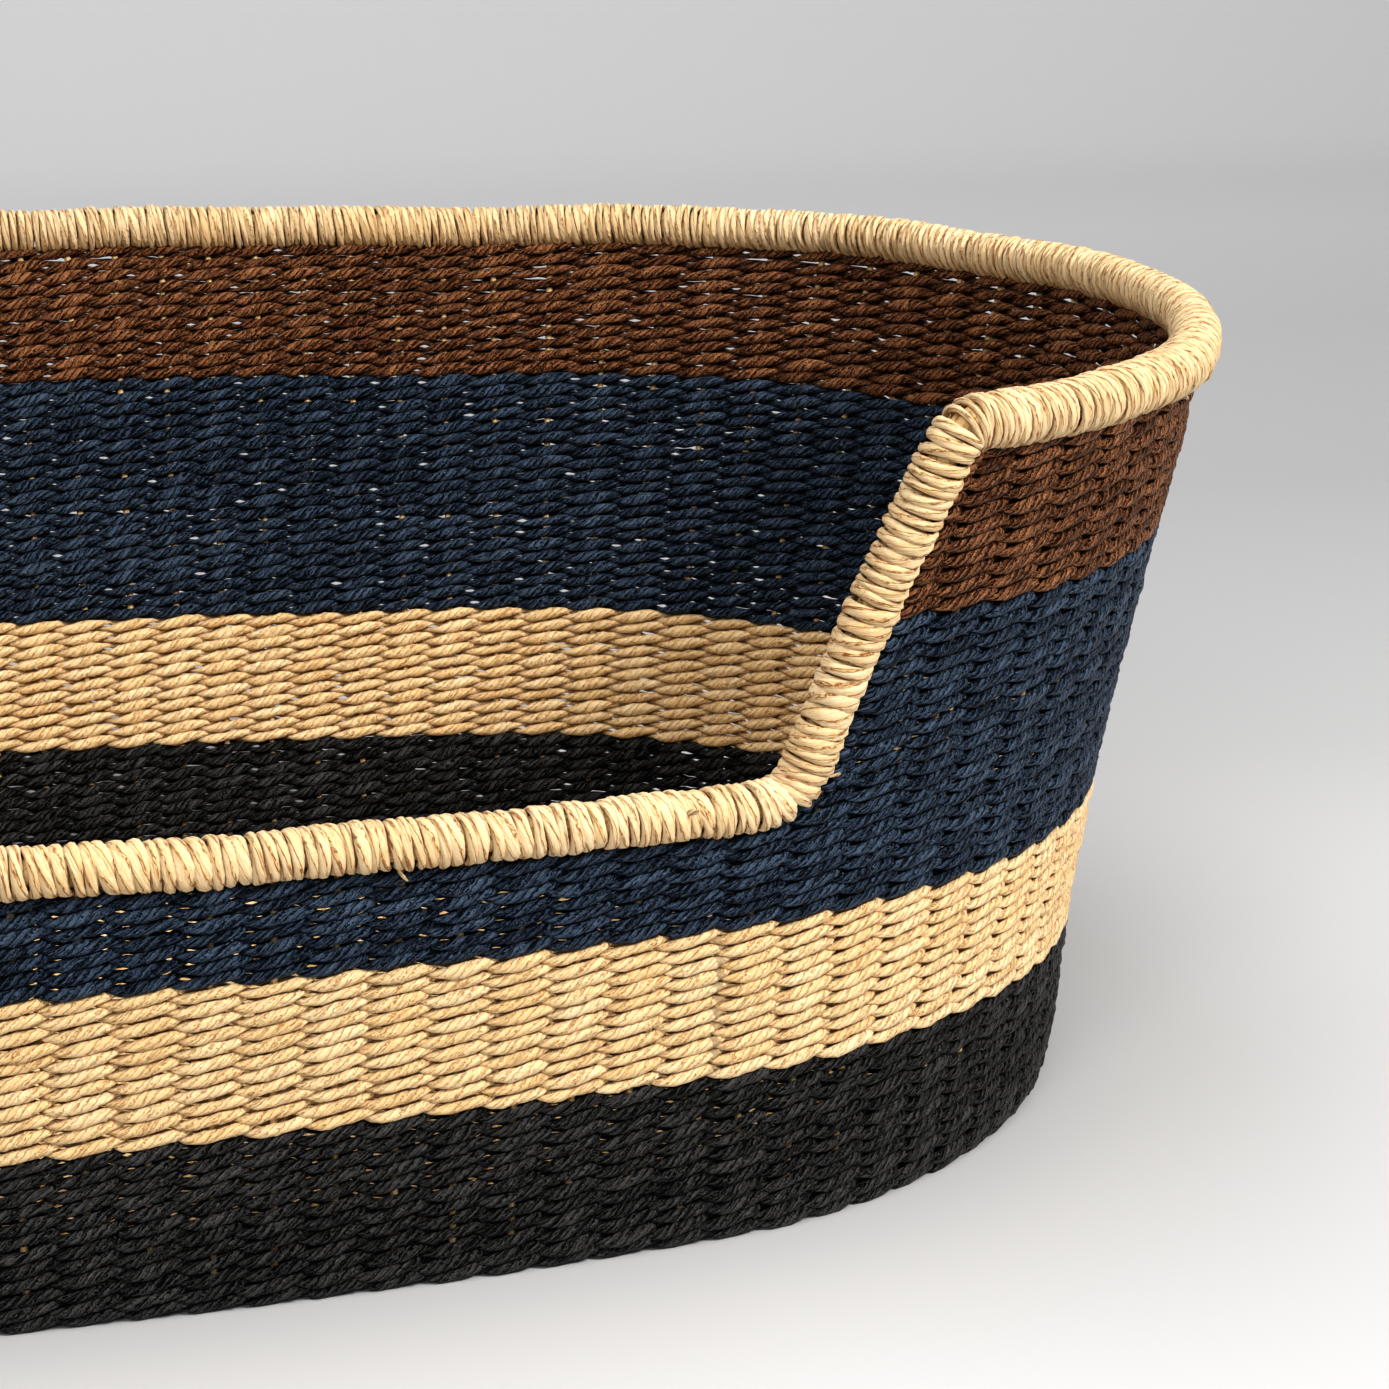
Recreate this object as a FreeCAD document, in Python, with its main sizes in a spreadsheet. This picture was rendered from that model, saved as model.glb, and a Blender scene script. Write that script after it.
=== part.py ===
"""Oval twined pet basket with a low entry in its front wall.

Frame: +Z up, origin on the ground under the middle of the basket, X along its length, the
entry on the -Y side.  Lengths are in millimetres.

The plan is a four-centre oval: two end arcs and two side arcs.  Every height has the same
four centres, so the flared wall is a vertical section carried round one oval.  The wall is
an inner and an outer layer of weft with the upright stakes between them.
"""
import FreeCAD
import Part

import math
import os

import Sketcher
from FreeCAD import Vector

SIZES = {
    # plan of the wall's middle surface at the ground
    "plan_half_length": 358.0,
    "plan_half_width": 194.5,
    "plan_end_radius": 181.5,
    # outward curve of the wall: one arc whose centre is outside the wall, below the ground
    "flare_radius": 1020.0,
    "flare_centre_drop": 59.0,
    # weave
    "weft_layer": 2.4,
    "stake_diameter": 2.2,
    "row_pitch": 4.37,
    "black_rows": 12,
    "natural_rows": 11,
    "navy_full_rows": 7,
    "navy_part_rows": 13,
    "brown_rows": 11,
    # stakes
    "stakes_per_end": 30,
    "stakes_per_side": 24,
    "foot_bend_height": 8.5,
    "cross_stake_reach": 150.0,
    "fan_start": 32.0,
    "fan_start_alternate": 74.0,
    # base
    "base_ring_width": 44.0,
    # rim
    "rim_radius": 6.8,
    "rim_core_radius": 4.4,
    # entry in the front wall, measured on the rim's centreline
    "entry_half_length_low": 221.0,
    "entry_half_length_top": 264.5,
    "entry_low_corner": 13.0,
    "entry_top_corner": 9.0,
    "entry_edge_gap": 1.0,
    # ends of the whipping strand that stand out of the rim
    "strand_end_radius": 0.8,
    "strand_end_length": 9.0,
}

doc = FreeCAD.newDocument("PetBasket")
sheet = doc.addObject("Spreadsheet::Sheet", "Sizes")
for row, (alias, value) in enumerate(SIZES.items(), start=1):
    sheet.set(f"A{row}", alias)
    sheet.set(f"B{row}", str(value))
    sheet.setAlias(f"B{row}", alias)
doc.recompute()


def size(alias):
    """The value of a cell of the sheet."""
    return float(getattr(sheet, alias))


# ---------------------------------------------------------------- formulas used as expressions
LENGTH, WIDTH, END = "Sizes.plan_half_length", "Sizes.plan_half_width", "Sizes.plan_end_radius"
END_CENTRE = f"({LENGTH} - {END})"
SIDE_CENTRE = f"(({END_CENTRE} ^ 2 + {WIDTH} ^ 2 - {END} ^ 2) / (2 * ({WIDTH} - {END})) - {WIDTH})"
STAKE_HALF = "Sizes.stake_diameter / 2"
WALL_HALF = f"({STAKE_HALF} + Sizes.weft_layer)"
BLACK_TOP = "Sizes.row_pitch * Sizes.black_rows"
NATURAL_TOP = "Sizes.row_pitch * (Sizes.black_rows + Sizes.natural_rows)"
NAVY_FULL_TOP = "Sizes.row_pitch * (Sizes.black_rows + Sizes.natural_rows + Sizes.navy_full_rows)"
NAVY_TOP = f"({NAVY_FULL_TOP} + Sizes.row_pitch * Sizes.navy_part_rows)"
BROWN_TOP = f"({NAVY_TOP} + Sizes.row_pitch * Sizes.brown_rows)"


def side_centre():
    """Distance of each side arc's centre from the basket's middle."""
    a, b, r = size("plan_half_length"), size("plan_half_width"), size("plan_end_radius")
    return ((a - r) ** 2 + b**2 - r**2) / (2 * (b - r)) - b


def join_angle():
    """Direction, from +X, of the point where an end arc meets a side arc."""
    return math.atan2(side_centre(), size("plan_half_length") - size("plan_end_radius"))


def flare(z):
    """How far the wall's middle surface stands out at height z."""
    radius, drop = size("flare_radius"), size("flare_centre_drop")
    return math.sqrt(radius**2 - drop**2) - math.sqrt(radius**2 - (z + drop) ** 2)


def rows_height(*bands):
    return size("row_pitch") * sum(size(f"{band}_rows") for band in bands)


def low_rim_height():
    return rows_height("black", "natural", "navy_full") + size("rim_radius")


def top_rim_height():
    return rows_height("black", "natural", "navy_full", "navy_part", "brown") + size("rim_radius")


# ---------------------------------------------------------------- sketches
def new_body(name):
    body = doc.addObject("PartDesign::Body", name)
    body.Label = name
    return body


def new_sketch(body, name, plane):
    sketch = body.newObject("Sketcher::SketchObject", f"{body.Name}_{name}")
    origin_plane = next(f for f in body.Origin.OriginFeatures if f.Role == plane)
    sketch.AttachmentSupport = [(origin_plane, "")]
    sketch.MapMode = "FlatFace"
    return sketch


def bind(sketch, kind, where, start_value, expression):
    """Adds a dimension and binds it to an expression of the sheet."""
    index = sketch.addConstraint(Sketcher.Constraint(kind, *where, start_value))
    sketch.setExpression(f"Constraints[{index}]", expression)


def add_oval(sketch, offset, offset_text):
    """Four tangent arcs round the plan, a given distance outside its middle surface."""
    a, r = size("plan_half_length"), size("plan_end_radius")
    centre_x, centre_y, phi = a - r, side_centre(), join_angle()
    end_radius = r + offset
    side_radius = centre_y + size("plan_half_width") + offset

    def arc(x, y, radius, low, high):
        circle = Part.Circle(Vector(x, y, 0), Vector(0, 0, 1), radius)
        return sketch.addGeometry(Part.ArcOfCircle(circle, low, high), False)

    right = arc(centre_x, 0, end_radius, -phi, phi)
    rear = arc(0, -centre_y, side_radius, phi, math.pi - phi)
    left = arc(-centre_x, 0, end_radius, math.pi - phi, math.pi + phi)
    front = arc(0, centre_y, side_radius, math.pi + phi, 2 * math.pi - phi)
    sketch.addConstraint([
        Sketcher.Constraint("Tangent", right, 2, rear, 1),
        Sketcher.Constraint("Tangent", rear, 2, left, 1),
        Sketcher.Constraint("Tangent", left, 2, front, 1),
        Sketcher.Constraint("Tangent", front, 2, right, 1),
        Sketcher.Constraint("PointOnObject", right, 3, -1),
        Sketcher.Constraint("PointOnObject", left, 3, -1),
        Sketcher.Constraint("Equal", right, left),
    ])
    bind(sketch, "DistanceX", (-1, 1, right, 3), centre_x, END_CENTRE)
    bind(sketch, "DistanceX", (left, 3, -1, 1), centre_x, END_CENTRE)
    bind(sketch, "DistanceY", (-1, 1, front, 3), centre_y, SIDE_CENTRE)
    bind(sketch, "DistanceY", (rear, 3, -1, 1), centre_y, SIDE_CENTRE)
    bind(sketch, "Radius", (right,), end_radius, f"{END} + {offset_text}")


def add_layer_section(sketch, offsets, heights, texts):
    """A strip of wall between two offsets from the middle surface and two heights."""
    radius, drop = size("flare_radius"), size("flare_centre_drop")
    centre_x = size("plan_half_length") + math.sqrt(radius**2 - drop**2)
    centre = Vector(centre_x, -drop, 0)

    def angle(arc_radius, z):
        return math.pi - math.asin((z + drop) / arc_radius)

    def corner(arc_radius, z):
        turn = angle(arc_radius, z)
        return centre + Vector(math.cos(turn), math.sin(turn), 0) * arc_radius

    def arc(arc_radius):
        circle = Part.Circle(centre, Vector(0, 0, 1), arc_radius)
        ends = angle(arc_radius, heights[1]), angle(arc_radius, heights[0])
        return sketch.addGeometry(Part.ArcOfCircle(circle, *ends), False)

    def line(z):
        ends = corner(radius - offsets[0], z), corner(radius - offsets[1], z)
        return sketch.addGeometry(Part.LineSegment(*ends), False)

    inner, outer = arc(radius - offsets[0]), arc(radius - offsets[1])
    bottom, top = line(heights[0]), line(heights[1])
    sketch.addConstraint([
        Sketcher.Constraint("Coincident", outer, 3, inner, 3),
        Sketcher.Constraint("Coincident", bottom, 1, inner, 2),
        Sketcher.Constraint("Coincident", bottom, 2, outer, 2),
        Sketcher.Constraint("Coincident", top, 1, inner, 1),
        Sketcher.Constraint("Coincident", top, 2, outer, 1),
        Sketcher.Constraint("Horizontal", bottom),
        Sketcher.Constraint("Horizontal", top),
    ])
    across = f"{LENGTH} + sqrt(Sizes.flare_radius ^ 2 - Sizes.flare_centre_drop ^ 2)"
    bind(sketch, "DistanceX", (-1, 1, inner, 3), centre_x, across)
    bind(sketch, "DistanceY", (inner, 3, -1, 1), drop, "Sizes.flare_centre_drop")
    bind(sketch, "Radius", (inner,), radius - offsets[0], f"Sizes.flare_radius - {texts[0]}")
    bind(sketch, "Radius", (outer,), radius - offsets[1], f"Sizes.flare_radius - {texts[1]}")
    if heights[0] > 0:
        bind(sketch, "DistanceY", (-1, 1, bottom, 1), heights[0], texts[2])
    else:
        sketch.addConstraint(Sketcher.Constraint("PointOnObject", bottom, 1, -1))
    bind(sketch, "DistanceY", (-1, 1, top, 1), heights[1], texts[3])


# ---------------------------------------------------------------- wall layers
def entry_edge(z):
    """Half-length, at height z, of the cut that clears the sloping rim."""
    low, top = size("entry_half_length_low"), size("entry_half_length_top")
    rise = top_rim_height() - low_rim_height()
    slope = (top - low) / rise
    clear = size("rim_radius") * math.hypot(1, slope) + size("entry_edge_gap")
    return low + slope * (z - low_rim_height()) + clear


def cut_entry(body, z_low, z_high, low_text, high_text):
    """Cuts the entry out of the front wall only, between two heights."""
    sketch = new_sketch(body, "entry", "XZ_Plane")
    low, high = entry_edge(z_low), entry_edge(z_high)
    corners = [(-low, z_low), (low, z_low), (high, z_high), (-high, z_high)]
    points = [Vector(x, z, 0) for x, z in corners]
    lines = [
        sketch.addGeometry(Part.LineSegment(points[i], points[(i + 1) % 4]), False)
        for i in range(4)
    ]
    for i in range(4):
        sketch.addConstraint(Sketcher.Constraint("Coincident", lines[i], 2, lines[(i + 1) % 4], 1))
    sketch.addConstraint(Sketcher.Constraint("Horizontal", lines[0]))
    sketch.addConstraint(Sketcher.Constraint("Horizontal", lines[2]))
    rise = "(Sizes.row_pitch * (Sizes.navy_part_rows + Sizes.brown_rows))"
    slope = f"((Sizes.entry_half_length_top - Sizes.entry_half_length_low) / {rise})"
    clear = f"(Sizes.rim_radius * sqrt(1 + {slope} ^ 2) + Sizes.entry_edge_gap)"
    rim_low = f"({NAVY_FULL_TOP} + Sizes.rim_radius)"

    def reach(height):
        return f"Sizes.entry_half_length_low + {slope} * ({height} - {rim_low}) + {clear}"

    bind(sketch, "DistanceX", (lines[0], 1, -1, 1), low, reach(low_text))
    bind(sketch, "DistanceX", (-1, 1, lines[0], 2), low, reach(low_text))
    bind(sketch, "DistanceX", (-1, 1, lines[1], 2), high, reach(high_text))
    bind(sketch, "DistanceX", (lines[2], 2, -1, 1), high, reach(high_text))
    bind(sketch, "DistanceY", (-1, 1, lines[0], 1), z_low, low_text)
    bind(sketch, "DistanceY", (-1, 1, lines[2], 1), z_high, high_text)
    pocket = body.newObject("PartDesign::Pocket", f"{body.Name}_entry_cut")
    pocket.Profile = sketch
    pocket.setExpression("Length", f"{WIDTH} * 2")
    pocket.Reversed = True
    return pocket


def wall_layer(name, outside, bottom, top, with_entry=False):
    """One band of weft on one face of the wall, carried round the oval."""
    body = new_body(name)
    spine = new_sketch(body, "spine", "XY_Plane")
    add_oval(spine, 0.0, "0")
    half_gap = size("stake_diameter") / 2
    if outside:
        offsets = (half_gap, half_gap + size("weft_layer"))
        texts = [STAKE_HALF, WALL_HALF]
    else:
        offsets = (-half_gap - size("weft_layer"), -half_gap)
        texts = [f"(-{WALL_HALF})", f"(-{STAKE_HALF})"]
    section = new_sketch(body, "section", "XZ_Plane")
    heights = (bottom[0], top[0])
    add_layer_section(section, offsets, heights, texts + [bottom[1], top[1]])
    pipe = body.newObject("PartDesign::AdditivePipe", f"{name}_round")
    pipe.Profile = section
    pipe.Spine = spine
    body.Tip = pipe
    doc.recompute()
    if with_entry:
        whole = pipe.Shape.Volume
        pocket = cut_entry(body, bottom[0], top[0], bottom[1], top[1])
        body.Tip = pocket
        doc.recompute()
        removed = whole - pocket.Shape.Volume
        assert 0.1 * whole < removed < 0.45 * whole, f"{name}: the entry cut took {removed}"
    return body


def wall_layers():
    black = rows_height("black")
    natural = rows_height("black", "natural")
    navy_full = rows_height("black", "natural", "navy_full")
    navy = rows_height("black", "natural", "navy_full", "navy_part")
    brown = rows_height("black", "natural", "navy_full", "navy_part", "brown")
    bands = [
        ("black", (0.0, "0"), (black, BLACK_TOP), False),
        ("natural", (black, BLACK_TOP), (natural, NATURAL_TOP), False),
        ("navy_lower", (natural, NATURAL_TOP), (navy_full, NAVY_FULL_TOP), False),
        ("navy_upper", (navy_full, NAVY_FULL_TOP), (navy, NAVY_TOP), True),
        ("brown", (navy, NAVY_TOP), (brown, BROWN_TOP), True),
    ]
    foot = (size("foot_bend_height"), "Sizes.foot_bend_height")
    parts = []
    for colour, bottom, top, with_entry in bands:
        parts.append(wall_layer(f"{colour}_weft_outer", True, bottom, top, with_entry))
        inner_bottom = foot if colour == "black" else bottom
        parts.append(wall_layer(f"{colour}_weft_inner", False, inner_bottom, top, with_entry))
    return parts


# ---------------------------------------------------------------- base
def base_layer(name, upper, ring):
    """One face of the base: the middle oval, or the ring of black rounds about it."""
    body = new_body(name)
    sketch = new_sketch(body, "outline", "XY_Plane")
    ring_inside = -size("base_ring_width")
    ring_text = "(-Sizes.base_ring_width)"
    if not ring:
        add_oval(sketch, ring_inside, ring_text)
    else:
        if upper:
            edge = size("stake_diameter") / 2 + size("weft_layer") - size("foot_bend_height")
            edge_text = f"({WALL_HALF} - Sizes.foot_bend_height)"
        else:
            edge, edge_text = size("stake_diameter") / 2, STAKE_HALF
        add_oval(sketch, edge, edge_text)
        add_oval(sketch, ring_inside, ring_text)
    pad = body.newObject("PartDesign::Pad", f"{name}_pad")
    pad.Profile = sketch
    pad.setExpression("Length", "Sizes.weft_layer")
    if upper:
        sketch.setExpression("AttachmentOffset.Base.z", "Sizes.weft_layer + Sizes.stake_diameter")
    body.Tip = pad
    return body


def base_layers():
    return [
        base_layer(f"base_{zone}_weft_{face}", face == "upper", zone == "ring")
        for zone in ("middle", "ring")
        for face in ("lower", "upper")
    ]


# ---------------------------------------------------------------- stakes
def wall_point(centre, radius, turn, z):
    """Point of the wall's middle surface on a stake's own vertical plane."""
    reach = radius + flare(z)
    return Vector(centre[0] + reach * math.cos(turn), centre[1] + reach * math.sin(turn), z)


def corner_arc(before, corner, after):
    """Arc tangent to two lines that meet at a corner, its ends equally far from it."""
    to_before = before - corner
    to_after = after - corner
    half_turn = (math.pi - to_before.getAngle(to_after)) / 2
    radius = to_before.Length / math.tan(half_turn)
    inward = (to_before.normalize() + to_after.normalize()).normalize()
    middle = corner + inward * (radius / math.cos(half_turn) - radius)
    return Part.Arc(before, middle, after).toShape()


def stake_top(centre, radius, turn):
    """Height where a stake meets the underside of the rim."""
    top = rows_height("black", "natural", "navy_full", "navy_part", "brown")
    low = rows_height("black", "natural", "navy_full")
    point = wall_point(centre, radius, turn, top)
    if point.y > 0 or abs(point.x) > entry_edge(top):
        return top
    height = low
    while height < top and abs(wall_point(centre, radius, turn, height).x) > entry_edge(height):
        height += size("row_pitch")
    return max(low, height - size("row_pitch"))


def upright(centre, radius, turn):
    """The part of a stake in the wall, and its foot bend down to the base."""
    level = size("weft_layer") + size("stake_diameter") / 2
    start_z = size("foot_bend_height")
    top = stake_top(centre, radius, turn)
    start = wall_point(centre, radius, turn, start_z)
    middle = wall_point(centre, radius, turn, (start_z + top) / 2)
    rise = Part.Arc(start, middle, wall_point(centre, radius, turn, top)).toShape()
    outward = Vector(math.cos(turn), math.sin(turn), 0)
    lean = math.asin((start_z + size("flare_centre_drop")) / size("flare_radius"))
    drop = start_z - level
    corner = start - outward * (drop * math.tan(lean)) - Vector(0, 0, drop)
    foot = corner - outward * (drop / math.cos(lean))
    return [rise, corner_arc(start, corner, foot)], foot


def rod(edges, radius):
    """A round rod along edges that follow each other smoothly."""
    pieces = []
    for edge in edges:
        start = edge.valueAt(edge.FirstParameter)
        along = edge.tangentAt(edge.FirstParameter)
        face = Part.Face(Part.Wire(Part.Circle(start, along, radius).toShape()))
        pieces.append(Part.Wire(edge).makePipe(face))
    solid = pieces[0].multiFuse(pieces[1:]) if len(pieces) > 1 else pieces[0]
    solid = solid.Solids[0] if len(solid.Solids) == 1 else solid
    expected = math.pi * radius**2 * sum(edge.Length for edge in edges)
    assert abs(solid.Volume - expected) < 0.02 * expected, "a rod has the wrong volume"
    assert len(solid.Solids) == 1 and solid.isValid(), "a rod isn't one whole solid"
    return solid


def cross_stake(offset_angle):
    """A stake that runs up the front wall, across the base and up the rear wall."""
    radius = side_centre() + size("plan_half_width")
    front_turn, rear_turn = -math.pi / 2 + offset_angle, math.pi / 2 - offset_angle
    front, front_foot = upright((0, side_centre()), radius, front_turn)
    rear, rear_foot = upright((0, -side_centre()), radius, rear_turn)
    bow = abs(front_foot.y) * math.tan(abs(offset_angle) / 2)
    middle = Vector(front_foot.x - math.copysign(bow, offset_angle), 0, front_foot.z)
    across = Part.Arc(front_foot, middle, rear_foot).toShape()
    return rod(front + [across] + rear, size("stake_diameter") / 2)


def fan_stake(centre, radius, turn, inner_end):
    """A stake that starts in the base near one end of it and runs out and up the wall."""
    edges, foot = upright(centre, radius, turn)
    start = Vector(inner_end[0], inner_end[1], foot.z)
    return rod(edges + [Part.LineSegment(foot, start).toShape()], size("stake_diameter") / 2)


def side_angles():
    """Angles, from straight ahead, of the stakes of one side arc."""
    count = int(size("stakes_per_side"))
    step = 2 * (math.pi / 2 - join_angle()) / count
    return [step * (i + 0.5 - count / 2) for i in range(count)]


def end_stakes(direction):
    """The fan of stakes at the right (+1) or left (-1) end, side stakes near it included."""
    centre_x = size("plan_half_length") - size("plan_end_radius")
    count = int(size("stakes_per_end"))
    step = 2 * join_angle() / count
    stakes = []
    for i in range(count):
        turn = step * (i + 0.5 - count / 2)
        turn = turn if direction > 0 else math.pi - turn
        start = size("fan_start") if i % 2 else size("fan_start_alternate")
        centre = (direction * centre_x, 0)
        inner_end = (centre[0] + start * math.cos(turn), start * math.sin(turn))
        stakes.append(fan_stake(centre, size("plan_end_radius"), turn, inner_end))
    side_radius = side_centre() + size("plan_half_width")
    for angle in side_angles():
        reach = side_radius * math.sin(angle) * direction
        if reach <= size("cross_stake_reach"):
            continue
        for face in (-1, 1):
            centre = (0, -face * side_centre())
            turn = face * (math.pi / 2 - angle)
            across = side_centre() + size("fan_start")
            inner_end = (across * math.tan(angle), face * size("fan_start"))
            stakes.append(fan_stake(centre, side_radius, turn, inner_end))
    return stakes


def stake_nodes():
    side_radius = side_centre() + size("plan_half_width")
    cross = [
        cross_stake(angle)
        for angle in side_angles()
        if abs(side_radius * math.sin(angle)) <= size("cross_stake_reach")
    ]
    groups = {
        "cross_stakes": cross,
        "right_end_stakes": end_stakes(1),
        "left_end_stakes": end_stakes(-1),
    }
    return [code_part(name, Part.makeCompound(solids)) for name, solids in groups.items()]


def code_part(name, shape):
    """A sub-part whose shape is worked out here from the sheet's sizes."""
    part = doc.addObject("Part::Feature", name)
    part.Label = name
    part.Shape = shape
    part.Placement = FreeCAD.Placement()
    return part


# ---------------------------------------------------------------- rim
def arc_of_plan(centre, radius, z, start, end):
    """Arc at height z from one direction to another, seen from its centre."""
    def point(turn):
        return Vector(centre[0] + radius * math.cos(turn), centre[1] + radius * math.sin(turn), z)

    return Part.Arc(point(start), point((start + end) / 2), point(end)).toShape()


def rim_corner(x, radius, z, length, towards_end):
    """Where the rim leaves the plan, and the corner it heads for, at the basket's right end.

    The corner lies at x, on the tangent, the given length away from the plan's arc.
    """
    centre_x = size("plan_half_length") - size("plan_end_radius")
    slant = math.atan2(length, radius)
    reach = math.acos((x - centre_x) / math.hypot(radius, length))
    turn = reach + slant if towards_end else reach - slant
    leave = Vector(centre_x + radius * math.cos(turn), -radius * math.sin(turn), z)
    tangent = Vector(math.sin(turn), math.cos(turn), 0) * (length if towards_end else -length)
    return turn, leave, leave + tangent


def rim_edges():
    """The rim's closed centreline: low front, right slope, top round the back, left slope."""
    centre_x, phi = size("plan_half_length") - size("plan_end_radius"), join_angle()
    low_z, top_z = low_rim_height(), top_rim_height()
    low_radius = size("plan_end_radius") + flare(low_z)
    top_radius = size("plan_end_radius") + flare(top_z)
    side = side_centre() + size("plan_half_width")
    low_turn, low_leave, low_corner = rim_corner(
        size("entry_half_length_low"), low_radius, low_z, size("entry_low_corner"), True)
    top_turn, top_leave, top_corner = rim_corner(
        size("entry_half_length_top"), top_radius, top_z, size("entry_top_corner"), False)
    up = (top_corner - low_corner).normalize()
    slope_start = low_corner + up * size("entry_low_corner")
    slope_end = top_corner - up * size("entry_top_corner")
    right = [
        corner_arc(low_leave, low_corner, slope_start),
        Part.LineSegment(slope_start, slope_end).toShape(),
        corner_arc(slope_end, top_corner, top_leave),
    ]
    low_side = arc_of_plan((0, side_centre()), side + flare(low_z), low_z, math.pi + phi,
                           2 * math.pi - phi)
    low_right = arc_of_plan((centre_x, 0), low_radius, low_z, -phi, -low_turn)
    top_right = arc_of_plan((centre_x, 0), top_radius, top_z, -top_turn, phi)
    rear = arc_of_plan((0, -side_centre()), side + flare(top_z), top_z, phi, math.pi - phi)
    mirrored = [edge.mirror(Vector(0, 0, 0), Vector(1, 0, 0)) for edge in
                [low_right] + right + [top_right]]
    return [low_side, low_right] + right + [top_right, rear] + mirrored


def rim_nodes():
    edges = rim_edges()
    core = rod(edges, size("rim_core_radius"))
    whipping = rod(edges, size("rim_radius")).cut(core)
    return [code_part("rim_core", core), code_part("rim_whipping", whipping)]


def strand_ends():
    """Short ends of the whipping strand that stick straight out of the low rim."""
    radius, length = size("strand_end_radius"), size("strand_end_length")
    low = side_centre() + size("plan_half_width") + flare(low_rim_height())
    places_and_tilts = [(-0.103, 1.1), (0.079, -0.9), (0.136, 0.5)]
    solids = []
    for turn, tilt in places_and_tilts:
        out = Vector(math.sin(turn), -math.cos(turn), 0)
        on_rim = Vector(0, side_centre(), low_rim_height()) + out * low
        away = out * math.cos(tilt) + Vector(0, 0, math.sin(tilt))
        begin = on_rim + away * size("rim_radius")
        solids.append(Part.makeCylinder(radius, length, begin, away))
    return code_part("strand_ends", Part.makeCompound(solids))


# ---------------------------------------------------------------- build, check and write
parts = wall_layers() + base_layers() + stake_nodes() + rim_nodes() + [strand_ends()]
doc.recompute()

for item in doc.Objects:
    assert not {"Invalid", "Error"} & set(item.State), f"{item.Name}: {item.State}"
os.makedirs("parts", exist_ok=True)
for part in parts:
    assert not part.Shape.isNull() and part.Shape.isValid(), f"{part.Label} isn't valid"
    assert part.Shape.Solids, f"{part.Label} has no solid"
    part.Shape.exportStep(f"parts/{part.Label}.step")
    box = part.Shape.BoundBox
    print(f"{part.Label:22s} solids {len(part.Shape.Solids):3d}  volume {part.Shape.Volume:11.1f}  "
          f"x {box.XMin:.1f} {box.XMax:.1f}  y {box.YMin:.1f} {box.YMax:.1f}  "
          f"z {box.ZMin:.1f} {box.ZMax:.1f}")
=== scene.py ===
"""Looks of the oval pet basket: straw strands twined round upright stakes, and a whipped rim.

Lengths are in millimetres until a mesh is made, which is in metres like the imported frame.
"""
import math

import bpy
import numpy as np
from mathutils import Matrix, Vector


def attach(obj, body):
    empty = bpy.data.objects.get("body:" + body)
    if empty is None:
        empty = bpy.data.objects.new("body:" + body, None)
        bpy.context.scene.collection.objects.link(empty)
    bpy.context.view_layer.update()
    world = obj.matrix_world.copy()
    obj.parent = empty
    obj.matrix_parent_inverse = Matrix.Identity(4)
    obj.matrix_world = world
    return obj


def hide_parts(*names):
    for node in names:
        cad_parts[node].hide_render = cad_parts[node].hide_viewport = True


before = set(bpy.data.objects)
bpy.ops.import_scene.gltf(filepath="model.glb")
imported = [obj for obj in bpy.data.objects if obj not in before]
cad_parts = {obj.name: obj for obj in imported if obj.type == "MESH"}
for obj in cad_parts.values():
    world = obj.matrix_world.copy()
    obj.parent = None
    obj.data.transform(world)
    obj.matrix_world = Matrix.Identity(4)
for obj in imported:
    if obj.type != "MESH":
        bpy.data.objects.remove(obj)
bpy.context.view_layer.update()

MM = 0.001
TURN = 2 * math.pi

# ---------------------------------------------------------------- sizes
ROW_PITCH = 4.37
ROWS = {"black": 12, "natural": 11, "navy_lower": 7, "navy_upper": 13, "brown": 11}
FULL_ROWS = 30
ALL_ROWS = sum(ROWS.values())
ROWS_PER_PIECE = 3
HALF_LENGTH, HALF_WIDTH, END_RADIUS = 358.0, 194.5, 181.5
FLARE_RADIUS, FLARE_DROP = 1020.0, 59.0
STAKES_PER_END, STAKES_PER_SIDE = 30, 24
STAKE_RADIUS = 1.15
STAKE_SIDES = 7
LAST_CROSS_STAKE = 150.0
RIM_RISE, RIM_RADIUS, CORE_RADIUS = 6.8, 7.4, 4.6
ENTRY_LOW, ENTRY_TOP = 224.5, 268.0
ENTRY_LOW_CORNER, ENTRY_TOP_CORNER = 18.0, 11.0
BASE_LEVEL = 3.75
BASE_RING_ROUNDS = 10
FIRST_ROUND_INSET = 5.6
INNER_STITCH_SPACING = 14.0
# Beyond these radii from an end's centre, half or all of the end's stakes run through the base.
HALF_FAN_RADIUS, FULL_FAN_RADIUS = 30, 74
LOWEST_POINT = 0.15
# First seeds of the random draws for each kind of piece.
ROW_SEED, ROUND_SEED, MIDDLE_ROW_SEED = 1000, 9000, 9900
STAKE_SEED, SWAY_SEED, WHIPPING_SEED = 5000, 5200, 99

END_CENTRE = HALF_LENGTH - END_RADIUS
SIDE_CENTRE = ((END_CENTRE**2 + HALF_WIDTH**2 - END_RADIUS**2)
               / (2 * (HALF_WIDTH - END_RADIUS)) - HALF_WIDTH)
SIDE_RADIUS = SIDE_CENTRE + HALF_WIDTH
JOIN = math.atan2(SIDE_CENTRE, END_CENTRE)
RIM_LOW = FULL_ROWS * ROW_PITCH + RIM_RISE
RIM_TOP = ALL_ROWS * ROW_PITCH + RIM_RISE


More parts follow.
